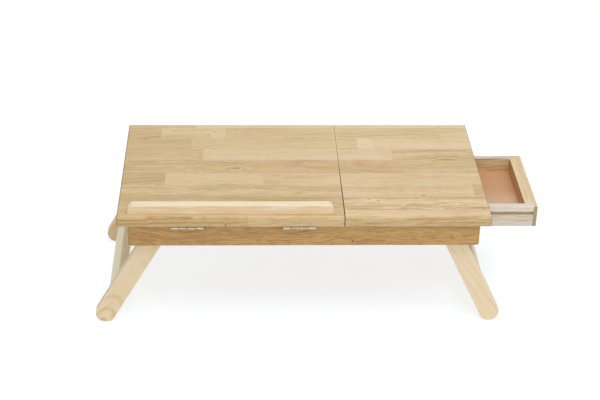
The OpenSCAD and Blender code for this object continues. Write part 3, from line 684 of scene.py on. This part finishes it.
def top_finish(name):
    """The glued-up timber of the top, for a piece with these edges."""
    material, tree, shader, place, facing = new_finish(name)
    stave = use_group(tree, stave_group, place=place)
    swirl, eye = swirls_and_eyes(tree, place)
    middle, half = turned_box(name, (0, 0, 0))
    local = vector_sums(tree, "SUBTRACT", place, tuple(middle))
    wear = edge_wear(tree, local, half, reach=0.0035, seed=1.7, strength=0.4)
    pale, deep = stave_tones(tree, place, stave)

    # The planed front shows more flecks than the sanded top.
    facing_front = apart(tree, facing)[1]
    flecks = steps(tree, facing_front, -0.5, -0.9, 0.3, 0.9)
    wood = use_group(
        tree, timber_group, place=place, seed=times(tree, stave["Seed"], stick_seeds),
        heart=stave["Heart"], lean=(0, 0.02, 0.05), ring_width=stave["Ring width"],
        wander=times(tree, stave["Figure"], stick_wander), swirl=swirl, pale=pale, deep=deep,
        figure=stave["Figure"], fibres=plus(tree, stave["Figure"], plain_fibres), pores=0.6,
        flecks=flecks, thirst=0.85, wear=wear, facing=facing,
    )
    glue_shade = times(tree, stave["Glue line"], glue_strength)
    colour = blend_colour(tree, glue_shade, wood["Colour"], glue_brown)
    colour = blend_colour(tree, eye, colour, eye_brown)
    colour = with_pin_knot(tree, name, place, colour)
    # The split's cut faces are painted dark in front as painted shade and pale behind as painted
    # light.
    in_split, cut_colour = split_faces(tree, place)
    colour = blend_colour(tree, in_split, colour, cut_colour)
    height = minus(tree, wood["Height"], times(tree, stave["Glue line"], glue_groove))
    finish(tree, shader, colour, wood["Roughness"], height, wood_bumps)
    return material


for name in ("tilt_panel", "fixed_panel"):
    dress(top_finish(name), name)
print("top panels dressed:", sorted(dressed))

# %% [markdown]
# ## The other wooden pieces
#
# A few timbers make up the rest. The aprons, the end rail and the end blocks are coarser, browner
# oak, and their edges are painted darker instead of paler, as painted shade. The legs, crossbars,
# partitions and the middle rail are pale, close-grained birch; the crossbars' birch is painted
# paler, as painted light for the shade under the table, and one rear leg is browner. The ledge,
# runners and notched strips are beech with its short flecks. The drawer's end board is a paler oak,
# and its sides and back are white pine with clear lines. A timber is a short list of its habits,
# and each piece adds its grain direction, its heart and its seed.

# %% Describe the timbers
# The oak's edge setting is negative, so its edges are darkened: painted shade.
oak = dict(pale=paint(200, 158, 95), deep=paint(138, 92, 40), ring_width=0.0042, wander=0.055,
           figure=0.45, fibres=1.6, pores=1.1, flecks=1.0, thirst=0.85, drift=-0.3, handled=-0.8)
board_oak = dict(pale=paint(236, 212, 172), deep=paint(196, 160, 112), ring_width=0.0024,
                 wander=0.012, figure=0.7, fibres=1.2, pores=0.6, flecks=0.2, thirst=0.85)
birch = dict(pale=paint(243, 225, 190), deep=paint(218, 188, 138), ring_width=0.006,
             wander=0.01, figure=0.35, fibres=0.4, pores=0.08, flecks=0.15, thirst=0.5)
# The crossbars' birch is paler: painted light for the shade under the table.
lit_bar_birch = dict(birch, pale=paint(255, 246, 210), deep=paint(240, 216, 168), figure=0.4,
                 pores=0.05, flecks=0.1, thirst=0.4)
leg_birch = dict(lit_bar_birch, pale=paint(240, 221, 184), deep=paint(212, 180, 128),
                 ring_width=0.0085, wander=0.012, figure=1.1, fibres=0.3)
tan_birch = dict(leg_birch, pale=paint(240, 216, 170), deep=paint(200, 168, 118),
                 ring_width=0.008, figure=0.5, fibres=0.4, pores=0.08)
beech = dict(pale=paint(248, 234, 206), deep=paint(222, 190, 148), ring_width=0.0022,
             wander=0.006, figure=0.35, fibres=0.5, pores=0.1, flecks=0.6, thirst=0.0)
pine = dict(pale=paint(236, 214, 178), deep=paint(150, 122, 90), ring_width=0.0032,
            wander=0.01, figure=1.2, fibres=1.3, pores=0.2, flecks=0.4, thirst=0.7)
veneer = dict(pale=paint(214, 167, 124), deep=paint(184, 130, 84), ring_width=0.004,
              wander=0.014, figure=0.3, fibres=1.1, pores=0.5, flecks=0.1, thirst=0.0)

grain_along = (0, 0, 0)
grain_across = (0, 0, -pi / 2)
up_left_leg = (0, radians(60), 0)
up_right_leg = (0, radians(116), 0)
left_bar = (0, radians(60), -pi / 2)
right_bar = (0, radians(116), -pi / 2)
slight = (0.05, 0.03)

# Each piece: its timber, its grain, its seed, then where the heart of the tree lies from its middle
# as the turned piece sees it, across the grain and up, in millimetres, and how the heart leans.
wooden_pieces = {
    "front_apron": (oak, grain_along, 2.3, (14, -80), (0.02, 0.02)),
    "rear_apron": (oak, grain_along, 7.1, (-52, 14), (0.06, 0.03)),
    "left_end_rail": (oak, grain_across, 4.4, (50, 20), slight),
    "front_end_block": (oak, grain_across, 5.2, (-45, -22), slight),
    "rear_end_block": (oak, grain_across, 6.7, (52, 12), slight),
    "middle_rail": (birch, grain_across, 3.6, (44, -25), slight),
    "front_partition": (birch, grain_along, 8.8, (60, 10), slight),
    "rear_partition": (birch, grain_along, 9.3, (-58, -16), slight),
    "front_runner": (beech, grain_along, 1.9, (-30, 24), slight),
    "rear_runner": (beech, grain_along, 2.8, (34, -20), slight),
    "drawer_stop": (birch, grain_across, 4.9, (30, 30), slight),
    "frame_dowels": (birch, grain_along, 6.1, (12, 40), slight),
    "left_front_leg": (leg_birch, up_left_leg, 11.4, (34, 2), (0.36, 0.06)),
    "left_rear_leg": (tan_birch, up_left_leg, 12.7, (30, -8), (0.2, 0.05)),
    "left_crossbar": (lit_bar_birch, left_bar, 13.2, (22, 30), slight),
    "left_crossbar_dowels": (beech, left_bar, 14.5, (18, -12), slight),
    "right_front_leg": (birch, up_right_leg, 15.9, (44, 30), (0.06, 0.1)),
    "right_rear_leg": (leg_birch, up_right_leg, 16.2, (34, 10), (0.12, 0.08)),
    "right_crossbar": (lit_bar_birch, right_bar, 17.7, (-24, 28), slight),
    "right_crossbar_dowels": (beech, right_bar, 18.3, (-16, 14), slight),
    "book_ledge": (beech, grain_along, 19.6, (35, -48), (0.01, 0.01)),
    "left_notched_strip": (beech, grain_across, 20.4, (24, 18), slight),
    "right_notched_strip": (beech, grain_across, 21.8, (-22, 20), slight),
    "drawer_end_board": (board_oak, grain_across, 22.5, (46, -20), (0.03, 0.02)),
    "drawer_front_side": (pine, grain_along, 23.1, (48, -34), (0.03, 0.06)),
    "drawer_rear_side": (pine, grain_along, 24.9, (-50, -30), (0.03, 0.02)),
    "drawer_back": (pine, grain_across, 25.3, (40, 26), slight),
}
print("wooden pieces:", len(wooden_pieces))

# %% [markdown]
# ## What was brushed on, and painted shade
#
# Some faces were brushed with a thin coat after sawing, and some are darkened with painted shade.
# The drawer's sides have a white wash on their outer faces, which hides half of the grain and is
# browner below the groove. The groove and the drawer's inner faces are painted a warm brown, and
# the end board's inner face a deeper brown: painted shade in these hollows. The end board's sawn
# end is grey. The front of the book ledge is pinker and browner than its top. Each coat is a box
# in space that holds just the faces it covers, found from the places of the solids themselves, so
# it stays right when a size changes.

# %% Make the coat and shade group
coat_and_shade_group, given, wanted = new_group(
    "coat_and_painted_shade", ["Place", "Low corner", "High corner"], ["Coat"],
)
tree = coat_and_shade_group
brush_waves = (20, 300, 300)
above_low = apart(tree, vector_sums(tree, "SUBTRACT", given["Place"], given["Low corner"]))
below_high = apart(tree, vector_sums(tree, "SUBTRACT", given["High corner"], given["Place"]))
least = 1.0
for room in (*above_low, *below_high):
    least = sums(tree, "MINIMUM", least, room)
streaks = speckle(tree, given["Place"], brush_waves, 0.4)
covers = steps(tree, streaks, 0.32, 0.6, 0.45, 1.0)
in_box = sums(tree, "GREATER_THAN", least, 0.0)
feed_named(tree, wanted, coat=times(tree, in_box, covers))
print("coat group:", len(tree.nodes), "nodes")

# %% Say where each coat and each painted shade goes
white_wash = paint(232, 233, 230)
# The next three are painted shade, for the groove, the inner faces and the end board's inner face.
groove_shade = paint(224, 204, 170)
inner_wall_shade = paint(212, 180, 130)
end_board_shade = paint(190, 132, 60)
grey_end = paint(160, 150, 136)
# The ledge's front face is pinker and browner than its top.
pink_face = paint(220, 184, 132)
# The near side's outer face is browner below the groove.
below_groove_brown = paint(172, 150, 122)

near_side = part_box("drawer_front_side")
far_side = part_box("drawer_rear_side")
end_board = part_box("drawer_end_board")
back_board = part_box("drawer_back")
drawer_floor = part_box("drawer_floor")
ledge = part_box("book_ledge")
skin = 0.0007
wide = Vector((1, 1, 1))
groove_share = 0.58
groove_bottom = near_side[0].z + groove_share * (near_side[1].z - near_side[0].z)
off_faces = 0.003
off_top = 0.002
groove_low = Vector((-1, near_side[0].y + off_faces, -1))
groove_high = Vector((1, near_side[1].y - off_faces, near_side[1].z - off_top))
inside = (
    Vector((back_board[1].x - skin, near_side[1].y - skin, drawer_floor[0].z)),
    Vector((end_board[1].x, far_side[0].y + skin, near_side[1].z - skin)),
)


def front_of(box, top=1):
    """The two corners of a slice that holds just a box's front face, up to that height."""
    return -wide, Vector((1, box[0].y + skin, top))


def top_of(box):
    """The two corners of a slice that holds just a box's top face."""
    return Vector((-1, box[0].y, box[1].z - skin)), wide


# Each coat: its paint, how much it hides, and the low and high corner of its box
coats_and_shades = {
    "drawer_front_side": [
        (white_wash, 0.66, *front_of(near_side)),
        (below_groove_brown, 0.3, *front_of(near_side, groove_bottom)),
        (white_wash, 0.65, *top_of(near_side)),
        # Painted shade in the groove and on the inner face.
        (groove_shade, 0.7, groove_low, groove_high),
        (inner_wall_shade, 0.6, *inside),
    ],
    "drawer_rear_side": [
        (white_wash, 0.68, Vector((-1, far_side[1].y - skin, -1)), wide),
        (white_wash, 0.5, *top_of(far_side)),
        # Painted shade on the inner face.
        (inner_wall_shade, 0.5, *inside),
    ],
    "drawer_end_board": [
        # Painted shade on the inner face; the sawn front end is grey.
        (end_board_shade, 0.85, *inside),
        (grey_end, 0.6, *front_of(near_side)),
    ],
    # Painted shade on the inner face.
    "drawer_back": [(inner_wall_shade, 0.6, *inside)],
    "book_ledge": [(pink_face, 0.7, *front_of(ledge))],
}
print("coated pieces:", list(coats_and_shades))

# %% [markdown]
# ## A dip in the grain
#
# A branch close by has pushed the apron's grain down on its left, so its lines make a shallow bowl
# there. The place that the rings are asked for is lifted under a soft hump, and the lines dip.

# %% Say where the apron's grain dips
dip_from_end = 0.073
dip_depth = 0.018
dip_reach = 0.055
dips = {"front_apron": dip_from_end - (apron_high.x - apron_low.x) / 2}


def dipped(tree, local, middle):
    """A place whose grain runs down and up again round a spot along the piece."""
    widths = sums(tree, "DIVIDE", minus(tree, apart(tree, local)[0], middle), dip_reach)
    lift = times(tree, bell(tree, widths), dip_depth)
    return vector_sums(tree, "ADD", local, together(tree, 0.0, 0.0, lift))


print("dips:", dips)

# %% Make the timber finishes
def timber_finish(name, timber, grain, seed, heart, lean):
    """The material of one wooden piece."""
    material, tree, shader, place, facing = new_finish(name)
    middle, half = turned_box(name, grain)
    local = turned(tree, place, grain, middle)
    habits = dict(timber)
    # A negative edge setting darkens the edges instead of paling them: painted shade.
    handled = habits.pop("handled", 1.0)
    wear = edge_wear(tree, local, half, reach=0.0028, seed=seed, strength=handled)
    grown = dipped(tree, local, dips[name]) if name in dips else local
    wood = use_group(
        tree, timber_group, place=grown, seed=seed, heart=(0, heart[0] / 1000, heart[1] / 1000),
        lean=(0, *lean), wear=wear, facing=turned(tree, facing, grain), **habits,
    )
    colour = with_pin_knot(tree, name, place, wood["Colour"])
    # Brushed coats, and darker paint for painted shade in the groove and inside the drawer.
    for coat_paint, hides, low, high in coats_and_shades.get(name, []):
        corners = dict(low_corner=tuple(low), high_corner=tuple(high))
        coat = use_group(tree, coat_and_shade_group, place=place, **corners)["Coat"]
        colour = blend_colour(tree, times(tree, coat, hides), colour, coat_paint)
    finish(tree, shader, colour, wood["Roughness"], wood["Height"], wood_bumps)
    return material


for name, traits in wooden_pieces.items():
    dress(timber_finish(name, *traits), name)
print("dressed so far:", len(dressed))

# %% [markdown]
# ## The drawer's plywood floor
#
# Plywood shows a peeled veneer on its face, wide and pinkish, with the grain across the drawer.
# The front half is painted paler: a painted sheen of light. The edge of the board shows
# the layers, and every second one is turned and looks darker.

# %% Finish the plywood
layer_pair = 0.8
face_starts = 0.95
# A painted sheen of light on the front half: where it starts and ends, its strength and colour.
sheen_from = 0.02
sheen_to = -0.035
sheen_strength = 0.5
sheen_pale = paint(228, 204, 178)
layer_strength = 0.45
layer_brown = paint(150, 108, 70)


def plywood_finish(name):
    """Veneer on the faces and layers on the edges, for a board whose grain runs across the drawer."""
    material, tree, shader, place, _ = new_finish(name)
    middle, half = turned_box(name, grain_across)
    local = turned(tree, place, grain_across, middle)
    wood = use_group(
        tree, timber_group, place=local, seed=31.0, heart=(0, 0.004, -0.09), lean=(0, 0.02, 0.12),
        wear=edge_wear(tree, local, half, reach=0.002, seed=3.0), facing=(0, 0, 1), **veneer,
    )
    towards_back, _, up = apart(tree, local)
    layer = sums(tree, "FRACT", sums(tree, "DIVIDE", plus(tree, up, half.z), half.z * layer_pair))
    turned_layer = sums(tree, "GREATER_THAN", layer, 0.5)
    inside = sums(tree, "LESS_THAN", sums(tree, "ABSOLUTE", up), half.z * face_starts)
    darker = times(tree, turned_layer, inside, layer_strength)
    # The front half is painted paler: a painted sheen of light.
    painted_sheen = steps(tree, towards_back, sheen_from, sheen_to, 0.0, sheen_strength)
    colour = blend_colour(tree, painted_sheen, wood["Colour"], sheen_pale)
    colour = blend_colour(tree, darker, colour, layer_brown)
    finish(tree, shader, colour, wood["Roughness"], wood["Height"], wood_bumps)
    return material


dress(plywood_finish("drawer_floor"), "drawer_floor")
print("plywood dressed")

# %% [markdown]
# ## Metal fittings
#
# The hinges are pressed from thin strip and plated with nickel, and the wire, bolts and screws are
# bright zinc-plated steel. Plated metal is smooth, but not a mirror: it has fine scratches from
# the tumbling drum, and soft smudges where the plating is duller. A narrow dark band of painted
# shade crosses each hinge barrel at every joint between its knuckles.

# %% Make the metal group
metal_group, given, wanted = new_group(
    "plated_metal", ["Place", "Bright", "Dull", "Smooth"], ["Colour", "Roughness", "Height"],
)
tree = metal_group
smudge_waves = (90, 260, 260)
scratch_waves = (300, 5200, 2600)
cross_waves = (4300, 260, 3300)
smudge_rough = 0.14
scratch_rough = 0.12
scratch_dip = 0.6

smudge = speckle(tree, given["Place"], smudge_waves, 0.7, 3.0)
scratch_one = speckle(tree, given["Place"], scratch_waves, 1.3)
scratch_two = speckle(tree, given["Place"], cross_waves, 2.9)
one_way = steps(tree, scratch_one, 0.62, 0.72)
other_way = steps(tree, scratch_two, 0.64, 0.74)
scratches = sums(tree, "MAXIMUM", one_way, other_way)
dull = steps(tree, smudge, 0.35, 0.7)
colour = blend_colour(tree, dull, given["Bright"], given["Dull"])
rough = plus(tree, given["Smooth"], times(tree, dull, smudge_rough))
rough = sums(tree, "ADD", rough, times(tree, scratches, scratch_rough), clamp=True)
height = minus(tree, smudge, times(tree, scratches, scratch_dip))
feed_named(tree, wanted, colour=colour, roughness=rough, height=height)
print("metal group:", len(tree.nodes), "nodes")

# %% Finish the metal pieces
knuckle_count = 4
joint_width = 0.0009
barrel_width = 0.0048
metal_bumps = 0.00001
# The joints between the knuckles get a dark band of painted shade, and are a little rougher.
joint_shade = paint(70, 56, 40)
joint_shade_strength = 0.6
joint_rough = 0.3


def metal_finish(name, bright, dull, smooth, shade_mask=None):
    """Plated metal. Where the mask is 1, the plating is darkened with painted shade and is rougher.
    """
    material, tree, shader, place, _ = new_finish(name)
    metal = use_group(tree, metal_group, place=place, bright=bright, dull=dull, smooth=smooth)
    shader.inputs["Metallic"].default_value = 1.0
    # Where the mask is 1, painted shade darkens the metal.
    in_joint_shade = shade_mask(tree, place) if shade_mask else 0.0
    colour = blend_colour(tree, in_joint_shade, metal["Colour"], joint_shade)
    roughness = sums(tree, "MULTIPLY_ADD", in_joint_shade, joint_rough, metal["Roughness"])
    finish(tree, shader, colour, roughness, metal["Height"], metal_bumps)
    return material


def hinge_finish(side):
    """Nickel with painted shade in the joints between its knuckles."""
    low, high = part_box(f"{side}_hinge_upper_leaf")
    knuckle_length = (high.x - low.x) / knuckle_count

    def in_joints(tree, place):
        """A mask of the narrow bands between the knuckles."""
        x, y = apart(tree, place)[:2]
        knuckles_along = sums(tree, "DIVIDE", minus(tree, x, low.x), knuckle_length)
        from_joint = sums(tree, "PINGPONG", knuckles_along, 0.5)
        reach = joint_width / knuckle_length
        joint = steps(tree, from_joint, 0.4 * reach, reach, joint_shade_strength, 0.0)
        return times(tree, joint, sums(tree, "LESS_THAN", y, low.y + barrel_width))

    name = f"{side}_hinge_nickel"
    return metal_finish(name, paint(184, 172, 148), paint(160, 148, 125), 0.36, in_joints)


nickel = metal_finish("nickel_plate", paint(200, 190, 168), paint(172, 161, 139), 0.36)
zinc = metal_finish("zinc_plate", paint(222, 222, 220), paint(186, 188, 190), 0.3)
brass = metal_finish("turned_brass", paint(226, 192, 122), paint(184, 148, 84), 0.28)
zinc_pieces = [
    "left_hinge_pin", "right_hinge_pin", "prop_wire", "leg_pivot_bolts", "leg_head_washers",
    "runner_screws", "drawer_stop_screws", "fixed_panel_screws", "ledge_screws",
    "notched_strip_screws", "drawer_nails",
]
for side in ("left", "right"):
    dress(hinge_finish(side), f"{side}_hinge_upper_leaf", f"{side}_hinge_lower_leaf")
dress(nickel, "hinge_panel_screws", "hinge_apron_screws")
dress(zinc, *zinc_pieces)
dress(brass, "leg_bolt_inserts")
print("dressed so far:", len(dressed))

# %% [markdown]
# ## Nylon washers and bushes
#
# The spacers beside the legs and the bushes of the wire are moulded from milky nylon. It is
# slightly waxy, and a little dust makes it cloudy.

# %% Finish the nylon
cloud_waves = (240, 240, 240)
grain_waves = (2600, 2600, 2600)
nylon_bumps = 0.00002


def nylon_finish(name):
    """Milky nylon with soft clouds and a fine grain."""
    material, tree, shader, place, _ = new_finish(name)
    cloud = speckle(tree, place, cloud_waves, 4.0, 3.0)
    grain = speckle(tree, place, grain_waves, 5.0)
    colour = blend_colour(tree, cloud, paint(236, 233, 222), paint(214, 208, 192))
    roughness = steps(tree, cloud, 0.2, 0.8, 0.34, 0.5)
    finish(tree, shader, colour, roughness, grain, nylon_bumps)
    return material


dress(nylon_finish("milky_nylon"), "leg_spacer_washers", "prop_bushes")
print("left without a finish:", sorted(set(solids) - dressed))

# %% [markdown]
# ## Floor, light and backdrop
#
# The table stands on a plain white sheet under a soft studio sky. To the camera the sheet and the
# sky are white, and the sheet keeps the table's faint shadow: part of its brightness is its own
# and part comes from the lamps, so only that part can be shaded. Its paint is a little cool there,
# because the timber throws warm light into its own shadow. Away from the table it is plain white.
# From underneath the sheet is clear, so the table can be looked at from below. A wide lamp above
# and in front gives the top its light, and a weaker one from the front opens up the fronts.

# %% Lay the floor
sheet_size = 14
own_glow = 0.67
cool_paint = (0.50, 0.57, 0.66, 1)
white_paint = (0.9, 0.9, 0.9, 1)
shadow_ends = 0.6
plain_from = 1.2


def only_seen(tree):
    """Light Path as a mask of the rays that see the scene directly, in gloss or through glass."""
    path = add_node(tree, "ShaderNodeLightPath")
    seen = sums(tree, "MAXIMUM", path.outputs["Is Camera Ray"], path.outputs["Is Glossy Ray"])
    return sums(tree, "MAXIMUM", seen, path.outputs["Is Transmission Ray"])


def mix_shaders(tree, share, first, second):
    """One shader or another, by a mask."""
    node = add_node(tree, "ShaderNodeMixShader")
    feed_all(tree, (share, first, second), node.inputs)
    return node.outputs[0]


def plain_shader(tree, kind, socket, value):
    """A simple shader with one of its inputs set."""
    node = add_node(tree, kind)
    node.inputs[socket].default_value = value
    return node.outputs[0]


bpy.ops.object.select_all(action="DESELECT")
bpy.ops.mesh.primitive_plane_add(size=sheet_size)
floor = bpy.context.object
floor.name = "floor"
sheet = bpy.data.materials.new("white_sheet")
sheet.use_nodes = True
tree = sheet.node_tree
tree.nodes.clear()
output = add_node(tree, "ShaderNodeOutputMaterial")
own_light = plain_shader(tree, "ShaderNodeEmission", "Strength", own_glow)
seen_paint = plain_shader(tree, "ShaderNodeBsdfDiffuse", "Color", cool_paint)
lit_paint = plain_shader(tree, "ShaderNodeBsdfDiffuse", "Color", white_paint)
both = add_node(tree, "ShaderNodeAddShader")
feed_all(tree, (own_light, seen_paint), both.inputs)
plain_white = add_node(tree, "ShaderNodeEmission").outputs[0]
spot = add_node(tree, "ShaderNodeTexCoord").outputs["Object"]
far_off = steps(tree, vector_sums(tree, "LENGTH", spot), shadow_ends, plain_from)
seen = mix_shaders(tree, far_off, both.outputs[0], plain_white)
from_above = mix_shaders(tree, only_seen(tree), lit_paint, seen)
underneath = add_node(tree, "ShaderNodeNewGeometry").outputs["Backfacing"]
clear = add_node(tree, "ShaderNodeBsdfTransparent").outputs[0]
feed(tree, mix_shaders(tree, underneath, from_above, clear), output.inputs["Surface"])
floor.data.materials.append(sheet)
print("floor laid")

# %% Hang the lamps and the sky
sky_strength = 0.6
white_strength = 1.0
world = bpy.data.worlds.new("studio_sky")
bpy.context.scene.world = world
world.use_nodes = True
tree = world.node_tree
tree.nodes.clear()
output = add_node(tree, "ShaderNodeOutputWorld")
sky_light = plain_shader(tree, "ShaderNodeBackground", "Strength", sky_strength)
white = plain_shader(tree, "ShaderNodeBackground", "Strength", white_strength)
feed(tree, mix_shaders(tree, only_seen(tree), sky_light, white), output.inputs["Surface"])


def hang_lamp(name, spot, aim, size, watts):
    """A square soft lamp at a spot, turned towards its aim."""
    bpy.ops.object.light_add(type="AREA", location=spot)
    lamp = bpy.context.object
    lamp.name = name
    lamp.data.size = size
    lamp.data.energy = watts
    lamp.rotation_euler = (Vector(aim) - Vector(spot)).to_track_quat("-Z", "Y").to_euler()


hang_lamp("top_lamp", (0.35, -0.75, 2.4), aim=(0, 0, 0.1), size=2.0, watts=31)
hang_lamp("front_lamp", (0.2, -2.8, 1.0), aim=(0, 0, 0.12), size=2.2, watts=15)
bpy.context.scene.view_settings.view_transform = "Standard"
